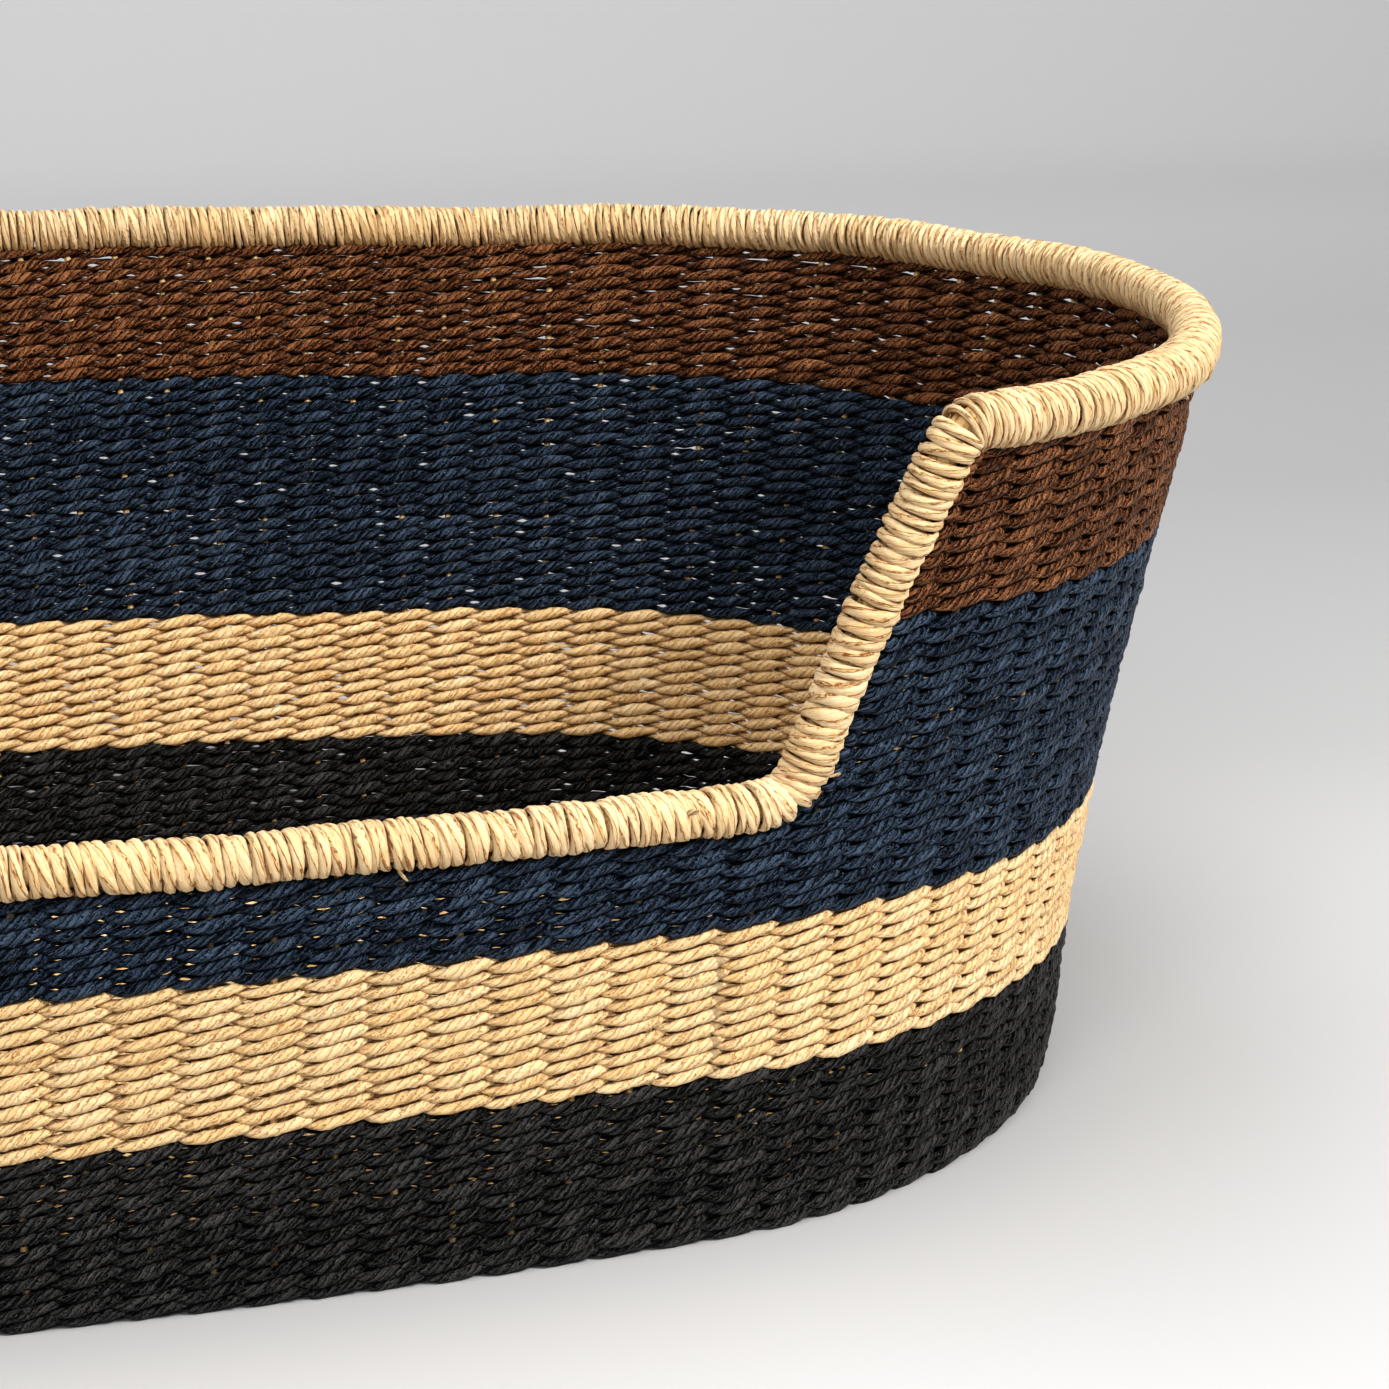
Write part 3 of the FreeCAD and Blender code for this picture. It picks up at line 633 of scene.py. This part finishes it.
def base_stakes(groups):
    """The stakes' runs in the base: straight across in the middle, fanned at the ends."""
    for number in range(STAKES_PER_SIDE):
        u = STAKES_PER_END + number + 0.5
        centre, radius, direction = plan(np.array([u]), WALL_ARCS)
        x = centre[0, 0] + radius[0] * math.cos(direction[0])
        if abs(x) > LAST_CROSS_STAKE:
            continue
        reach = math.sqrt(SIDE_RADIUS**2 - x * x) - SIDE_CENTRE - CROSS_INSET
        y = np.linspace(-reach, reach, 12)
        bow = CROSS_BOW * abs(x) * (1 - (y / reach)**2) * np.sign(x)
        path = np.stack([x - bow, y, np.full(12, BASE_LEVEL)], 1)
        size = np.full(12, STAKE_RADIUS)
        tint = np.tile([(number * 0.37) % 1, 0.5, 0.5], (12, 1))
        upward = np.tile([0, 0, 1.0], (12, 1))
        groups["cross_stakes"].add_tube(path, upward, size, size, STAKE_SIDES, 0.02, tint)
    for direction_x, name in ((1, "right_end_stakes"), (-1, "left_end_stakes")):
        for number in range(STAKES_PER_END):
            turn = (number + 0.5) / STAKES_PER_END * 2 * JOIN - JOIN
            start = HALF_FAN_RADIUS + 2 if number % 2 else FULL_FAN_RADIUS
            reach = np.linspace(start, END_RADIUS - FOOT_INSET, 6)
            x = direction_x * (END_CENTRE + reach * math.cos(turn))
            path = np.stack([x, reach * math.sin(turn), np.full(6, BASE_LEVEL)], 1)
            size = np.full(6, STAKE_RADIUS)
            tint = np.tile([(number * 0.37) % 1, 0.5, 0.5], (6, 1))
            upward = np.tile([0, 0, 1.0], (6, 1))
            groups[name].add_tube(path, upward, size, size, STAKE_SIDES, 0.02, tint)


# ---------------------------------------------------------------- base
def even(value):
    """The even number nearest value, and at least 2."""
    return max(2, int(round(value / 2)) * 2)


def base_round(bundle, number):
    """One oval round of the base, number 0 being the outermost."""
    offset = -(FIRST_ROUND_INSET + number * ROW_PITCH)
    inner_radius = END_RADIUS + offset
    if inner_radius > FULL_FAN_RADIUS:
        per_end = STAKES_PER_END
    elif inner_radius > HALF_FAN_RADIUS:
        per_end = STAKES_PER_END // 2
    else:
        per_end = max(2, even(inner_radius * 2 * JOIN / INNER_STITCH_SPACING))
    arcs = plan_arcs(per_end, STAKES_PER_SIDE)
    twined_row(bundle, arcs, offset, BASE_LEVEL, math.pi / 2, None, ROUND_SEED + 37 * number,
               ROW_PITCH * 1.02)


STRAIGHT_RADIUS = 20000.0
MIDDLE_ROW_END_GAP = 3.4


def base_middle_rows(bundle, rounds):
    """Short rows that fill the slender gap inside the last of the rounds.

    They follow an arc so wide that they are all but straight, and get shorter towards the
    gap's sides.
    """
    half_run = 0.93 * SIDE_RADIUS * math.cos(JOIN)
    sweep = math.asin(half_run / STRAIGHT_RADIUS)
    last_radius = SIDE_RADIUS - FIRST_ROUND_INSET - (rounds - 1) * ROW_PITCH
    spacing = (last_radius - SIDE_CENTRE) / 4.05
    for number in range(-3, 4):
        y = number * spacing
        arcs = np.array([(0, y - STRAIGHT_RADIUS, STRAIGHT_RADIUS, math.pi / 2 - sweep, math.pi / 2 + sweep,
                          STAKES_PER_SIDE)])
        beside = SIDE_CENTRE + abs(y) + MIDDLE_ROW_END_GAP
        reach = min(math.sqrt(last_radius**2 - beside**2), END_CENTRE)
        share = reach / half_run
        span = (STAKES_PER_SIDE / 2 * (1 - share), STAKES_PER_SIDE / 2 * (1 + share))
        twined_row(bundle, arcs, 0.0, BASE_LEVEL, math.pi / 2, span, MIDDLE_ROW_SEED + 37 * number, spacing)


def build_base():
    """The base's rounds, black outside and natural inside them."""
    rounds = int((END_RADIUS - FIRST_ROUND_INSET) / ROW_PITCH)
    for number, (low, high) in enumerate(split_rows(BASE_RING_ROUNDS, 3.4), 1):
        bundle = Bundle()
        for index in range(low, high):
            base_round(bundle, index)
        bundle.piece(f"base_ring_rounds_{number}", MATERIALS["black"], "black_straw",
                     ["base_ring_weft_lower", "base_ring_weft_upper"], wobble=False)
    for number, (low, high) in enumerate(split_rows(rounds - BASE_RING_ROUNDS, 5), 1):
        bundle = Bundle()
        for index in range(low + BASE_RING_ROUNDS, high + BASE_RING_ROUNDS):
            base_round(bundle, index)
        if high + BASE_RING_ROUNDS == rounds:
            base_middle_rows(bundle, rounds)
        bundle.piece(f"base_middle_rounds_{number}", MATERIALS["base"], "base_straw",
                     ["base_middle_weft_lower", "base_middle_weft_upper"], wobble=False)


# ---------------------------------------------------------------- rim
def rim_share(z):
    """How far up z is, from 0 at the low front rim to 1 at the high rim."""
    return (z - RIM_LOW) / (RIM_TOP - RIM_LOW)


def rim_path(step):
    """The rim's closed centreline as evenly spaced points, from the middle of the low front."""
    u = np.linspace(-STAKES_PER_SIDE / 2, STAKES_PER_END / 2, 4001)

    def on_surface(where, z):
        z = z * np.ones_like(where)
        return row_surface(where, WALL_ARCS, flare(z), z, flare_lean(z))[0]

    def u_at(x, z):
        ring = on_surface(u, z)
        return float(np.interp(x, ring[:, 0], u))

    low_end, top_start = u_at(ENTRY_LOW, RIM_LOW), u_at(ENTRY_TOP, RIM_TOP)
    low = on_surface(np.linspace(-STAKES_PER_SIDE / 2, low_end, 400), RIM_LOW)
    slope = on_surface(np.linspace(low_end, top_start, 60), np.linspace(RIM_LOW, RIM_TOP, 60))
    middle_back = STAKES_PER_END + STAKES_PER_SIDE / 2
    top = on_surface(np.linspace(top_start, middle_back, 900), RIM_TOP)
    line = np.vstack([low, slope[1:], top[1:]])
    mirrored = line[::-1] * np.array([-1, 1, 1])
    line = np.vstack([line, mirrored[1:-1]])
    line = even_steps(line, 1.0)
    raised = eased(rim_share(line[:, 2:]) * 2 - 0.5)
    low_corners = round_corners(line, ENTRY_LOW_CORNER)
    top_corners = round_corners(line, ENTRY_TOP_CORNER)
    line = low_corners * (1 - raised) + top_corners * raised
    return even_steps(line, step)


def even_steps(line, step):
    """A closed line's points, moved along it to be step mm apart."""
    closed = np.vstack([line, line[:1]])
    run = np.concatenate([[0], np.cumsum(np.linalg.norm(np.diff(closed, axis=0), axis=1))])
    count = int(run[-1] / step)
    where = np.linspace(0, run[-1], count, endpoint=False)
    return np.stack([np.interp(where, run, closed[:, i]) for i in range(3)], 1)


def round_corners(line, reach):
    """Softens the corners by averaging along the line over a distance, in 1 mm steps."""
    width = int(reach)
    window = np.bartlett(2 * width + 1)
    window /= window.sum()
    return np.stack([
        np.convolve(np.concatenate([line[-width:, i], line[:, i], line[:width, i]]), window, "valid")
        for i in range(3)
    ], 1)


SIDE_TURN = 0.13


def rim_frames(line):
    """Directions along the rim, out from the wall's face, and down the wall."""
    along = np.roll(line, -1, 0) - np.roll(line, 1, 0)
    along /= np.linalg.norm(along, axis=1)[:, None]
    level = line.copy()
    level[:, 2] = 0
    level[:, 0] -= np.clip(level[:, 0], -END_CENTRE, END_CENTRE)
    side = np.abs(line[:, 0]) <= END_CENTRE
    level[side, 0] = line[side, 0] * SIDE_TURN
    level /= np.linalg.norm(level, axis=1)[:, None]
    lean = flare_lean(line[:, 2])
    out = level * np.cos(lean)[:, None] - np.array([0, 0, 1.0]) * np.sin(lean)[:, None]
    out -= (out * along).sum(1)[:, None] * along
    out /= np.linalg.norm(out, axis=1)[:, None]
    return along, out, np.cross(along, out)


OPEN_PITCH, PITCH_CLOSING = 3.7, 0.9
HIGH_RIM_FULLNESS = 0.75


def whipping_pitch(line):
    """Length of rim that each turn takes: open on the low front, closer on the high rim."""
    return OPEN_PITCH - PITCH_CLOSING * np.clip(rim_share(line[:, 2]) * 1.6 - 0.6, 0, 1)


def rim_fullness(z):
    """How much the whipping's radius grows from the low front up to the high rim."""
    return HIGH_RIM_FULLNESS * eased(rim_share(z) * 1.6 - 0.6)


RIM_STEP = 0.25


def build_rim():
    """The rim's core, its whipping, and the whipping's loose ends."""
    line = rim_path(RIM_STEP)
    along, out, down = rim_frames(line)
    build_core(line[::16], out[::16])
    build_whipping(line, along, out, down, RIM_STEP)
    strand_ends(line, out, down, along)


def build_core(line, out):
    """The bundle of straw that the rim is wound round."""
    core = Bundle()
    size = np.full(len(line), CORE_RADIUS)
    tint = np.tile([0.3, 0.5, 0.5], (len(size), 1))
    core.add_tube(line, out, size, size, 10, 0.05, tint, closed=True)
    core.piece("rim_core_bundle", MATERIALS["stake"], "stake_straw", ["rim_core"])


WHIPPING_PIECES, WHIPPING_SIDES = 6, 10
TURN_SAMPLES, QUICK_TURN_SAMPLES = 16, 12


def build_whipping(line, along, out, down, step):
    """One long strand wound round the rim's line, whose points are step mm apart."""
    count = len(line)
    pitch = whipping_pitch(line)
    jitter = 1 + 0.30 * smooth_noise(count, OPEN_PITCH / step, 77)
    jitter = jitter + 0.12 * smooth_noise(count, 30 / step, 78)
    turns = np.concatenate([[0], np.cumsum(step / (pitch * jitter))])[:-1]
    total = round(turns[-1])
    turns *= total / turns[-1]
    per_turn = TURN_SAMPLES
    samples = total * per_turn
    wanted = np.arange(samples) / per_turn
    place = np.interp(wanted, turns, np.arange(count))
    low = place.astype(int) % count
    part = (place - place.astype(int))[:, None]
    high = (low + 1) % count

    def between(values):
        return values[low] * (1 - part) + values[high] * part

    centre, out_at, down_at, along_at = between(line), between(out), between(down), between(along)
    angle = wanted * TURN
    rng = np.random.default_rng(WHIPPING_SEED)
    turn_number = wanted.astype(int)

    def per_turn_value(values):
        share = wanted - turn_number
        blend = share * share * (3 - 2 * share)
        return values[turn_number] * (1 - blend) + values[turn_number + 1] * blend

    spoke = out_at * np.cos(angle)[:, None] + down_at * np.sin(angle)[:, None]
    turn_length = step * np.gradient(place) * per_turn
    loose = per_turn_value(rng.normal(0, 1, total + 2))
    lean = per_turn_value(rng.normal(0, 1, total + 2))
    swing = per_turn_value(rng.normal(0, 1, total + 2))
    half_along = turn_length * (0.52 + 0.04 * loose + 0.06 * np.sin(angle + 2 * swing))
    half_out = 1.22 + 0.12 * loose + 0.10 * smooth_noise(samples, per_turn * 0.4, 91)
    reach = RIM_RADIUS - half_out + 0.24 * per_turn_value(rng.normal(0, 1, total + 2))
    fullness = rim_fullness(centre[:, 2])
    reach = reach + fullness
    centre = centre + down_at * (0.8 * fullness)[:, None]
    reach = reach + 0.14 * smooth_noise(samples, per_turn * 0.35, 90)
    slide = 0.55 * lean * np.cos(angle + swing) + 0.22 * smooth_noise(samples, per_turn * 0.5, 93)
    path = centre + spoke * reach[:, None] + along_at * slide[:, None]
    tint = np.stack([
        0.5 + 0.15 * per_turn_value(rng.uniform(-1, 1, total + 2)),
        0.5 + 0.5 * np.clip(loose * 0.5, -1, 1),
        0.5 + 0.5 * smooth_noise(samples, per_turn * 6, 80),
    ], 1)
    for number in range(WHIPPING_PIECES):
        first = number * samples // WHIPPING_PIECES
        last = (number + 1) * samples // WHIPPING_PIECES + 1
        pick = np.arange(first, last) % samples
        bundle = Bundle()
        bundle.add_tube(path[pick], spoke[pick], half_out[pick], half_along[pick], WHIPPING_SIDES, 0.16,
                        tint[pick], lobes=0.13, folds=0.10)
        bundle.piece(f"rim_whipping_{number + 1}", MATERIALS["rim"], "rim_straw", ["rim_whipping"])


# Each end's place as a share of the rim's length, its turn from outward to down, and its length.
END_TIPS = [(0.935, 1.1, 4), (0.049, 1.0, 4), (0.085, -0.6, 3.5), (0.1037, 1.2, 4), (0.2032, 1.0, 4)]
TIP_RADIUS = 0.95


def strand_ends(line, out, down, along):
    """Ends of the whipping strand left standing out of the rim."""
    bundle = Bundle()
    for number, (share, turn, length) in enumerate(END_TIPS):
        index = int(share * len(line))
        spoke = out[index] * math.cos(turn) + down[index] * math.sin(turn)
        bend = along[index] * 0.5
        run = np.linspace(0, 1, 6)[:, None]
        path = line[index] + spoke * (RIM_RADIUS - 1.2 + length * run) + bend * length * run**2
        size = TIP_RADIUS * np.array([1, 1, 0.95, 0.9, 0.8, 0.45])
        tint = np.tile([0.2 * number, 0.7, 0.6], (6, 1))
        bundle.add_tube(path, np.tile(along[index], (6, 1)), size * 0.7, size, 6, 0.5, tint)
    bundle.piece("strand_end_tips", MATERIALS["rim"], "rim_straw", ["strand_ends"])


# ---------------------------------------------------------------- floor, light and camera
# Painted light and shade: the floor's and backdrop's grey, lighter and darker with the distance back,
# stands in for how the lamps' light falls across them.
FLOOR_PAINTED_LIGHT = [(place, (grey, grey * 0.995, grey * 0.995)) for place, grey in (
    (0.0, 0.75), (0.12, 0.68), (0.25, 0.42), (0.38, 0.42), (0.45, 0.50), (0.50, 0.52), (0.57, 0.52),
    (0.60, 0.515), (0.645, 0.45), (0.67, 0.445), (0.735, 0.445), (0.825, 0.535), (0.91, 0.68), (1.0, 0.77))]


FLOOR_HALF, FLOOR_BACK, FLOOR_BEND, BACKDROP_TOP = 10.0, 2.2, 1.2, 6.0


def build_stage():
    """The floor, which bends up into a backdrop. Its grey is painted lighter and darker with the distance
    back, as painted light and shade.
    """
    material, tree = new_material("studio_floor")
    shader = node(tree, "ShaderNodeBsdfPrincipled")
    position = node(tree, "ShaderNodeTexCoord")
    away = separate(tree, position.outputs["Object"])[1]
    depth = node(tree, "ShaderNodeMapRange", in_From_Min=-3.6, in_From_Max=2.4)
    tree.links.new(away, depth.inputs["Value"])
    tree.links.new(ramp(tree, FLOOR_PAINTED_LIGHT, depth.outputs[0]), shader.inputs["Base Color"])
    shader.inputs["Roughness"].default_value = 0.7
    shader.inputs["Specular IOR Level"].default_value = 0.2
    output = node(tree, "ShaderNodeOutputMaterial")
    tree.links.new(shader.outputs[0], output.inputs["Surface"])
    profile = [(-FLOOR_HALF, 0.0), (FLOOR_BACK, 0.0)]
    profile += [(FLOOR_BACK + FLOOR_BEND * math.sin(a), FLOOR_BEND * (1 - math.cos(a)))
                for a in np.linspace(0, math.pi / 2, 16)[1:]]
    profile.append((FLOOR_BACK + FLOOR_BEND, BACKDROP_TOP))
    points = [(x, y, z) for y, z in profile for x in (-FLOOR_HALF, FLOOR_HALF)]
    faces = [(2 * i, 2 * i + 1, 2 * i + 3, 2 * i + 2) for i in range(len(profile) - 1)]
    mesh = bpy.data.meshes.new("studio_floor")
    mesh.from_pydata(points, [], faces)
    for polygon in mesh.polygons:
        polygon.use_smooth = True
    mesh.materials.append(material)
    floor = bpy.data.objects.new("studio_floor", mesh)
    bpy.context.collection.objects.link(floor)


def add_light(name, place, target, size, power, colour=(1, 1, 1)):
    """An area light at place that points at target; metres and watts."""
    data = bpy.data.lights.new(name, "AREA")
    data.shape = "RECTANGLE"
    data.size, data.size_y = size
    data.energy = power
    data.color = colour
    lamp = bpy.data.objects.new(name, data)
    lamp.location = place
    direction = Vector(target) - Vector(place)
    lamp.rotation_euler = direction.to_track_quat("-Z", "Y").to_euler()
    bpy.context.collection.objects.link(lamp)


def build_lights():
    world = bpy.data.worlds.new("studio")
    world.use_nodes = True
    world.node_tree.nodes["Background"].inputs["Color"].default_value = (0.80, 0.82, 0.86, 1)
    world.node_tree.nodes["Background"].inputs["Strength"].default_value = 0.30
    bpy.context.scene.world = world
    bpy.context.scene.view_settings.view_transform = "Standard"
    bpy.context.scene.view_settings.look = "High Contrast"
    add_light("key", (1.7, -1.5, 1.8), (0.1, 0, 0.1), (0.6, 0.6), 58, (1, 0.985, 0.96))
    add_light("top", (-0.35, 0.0, 2.4), (0, 0, 0.1), (2.4, 1.6), 28)
    add_light("fill", (-0.9, -2.3, 1.6), (0, 0, 0.1), (1.2, 1.2), 24, (0.98, 0.99, 1))


# The place is in metres, the angles are in degrees and the lens is in mm.
CAMERA_PLACE = (-0.0314, -1.0909, 0.4204)
CAMERA_YAW, CAMERA_PITCH, CAMERA_ROLL = 14.305, -15.221, 0.332
CAMERA_LENS = 90.98
CAMERA_SHIFT = -0.0051


def build_camera():
    """The camera. Yaw turns it right from +Y, pitch tips it up and roll lifts its right side."""
    data = bpy.data.cameras.new("camera")
    data.sensor_width = 36.0
    data.lens = CAMERA_LENS
    data.shift_x = CAMERA_SHIFT
    data.clip_end = 50
    yaw, pitch = math.radians(CAMERA_YAW), math.radians(CAMERA_PITCH)
    forward = Vector((math.sin(yaw) * math.cos(pitch), math.cos(yaw) * math.cos(pitch), math.sin(pitch)))
    right = Vector((math.cos(yaw), -math.sin(yaw), 0))
    up = right.cross(forward)
    roll = math.radians(CAMERA_ROLL)
    right, up = right * math.cos(roll) + up * math.sin(roll), up * math.cos(roll) - right * math.sin(roll)
    turned = Matrix((right, up, -forward)).transposed()
    camera = bpy.data.objects.new("camera", data)
    camera.matrix_world = Matrix.Translation(CAMERA_PLACE) @ turned.to_4x4()
    bpy.context.collection.objects.link(camera)
    bpy.context.scene.camera = camera


build_camera()
build_stage()
build_lights()
rim_line = rim_path(1.5)
build_wall(rim_line)
build_stakes(rim_line)
build_base()
build_rim()

bpy.context.view_layer.update()
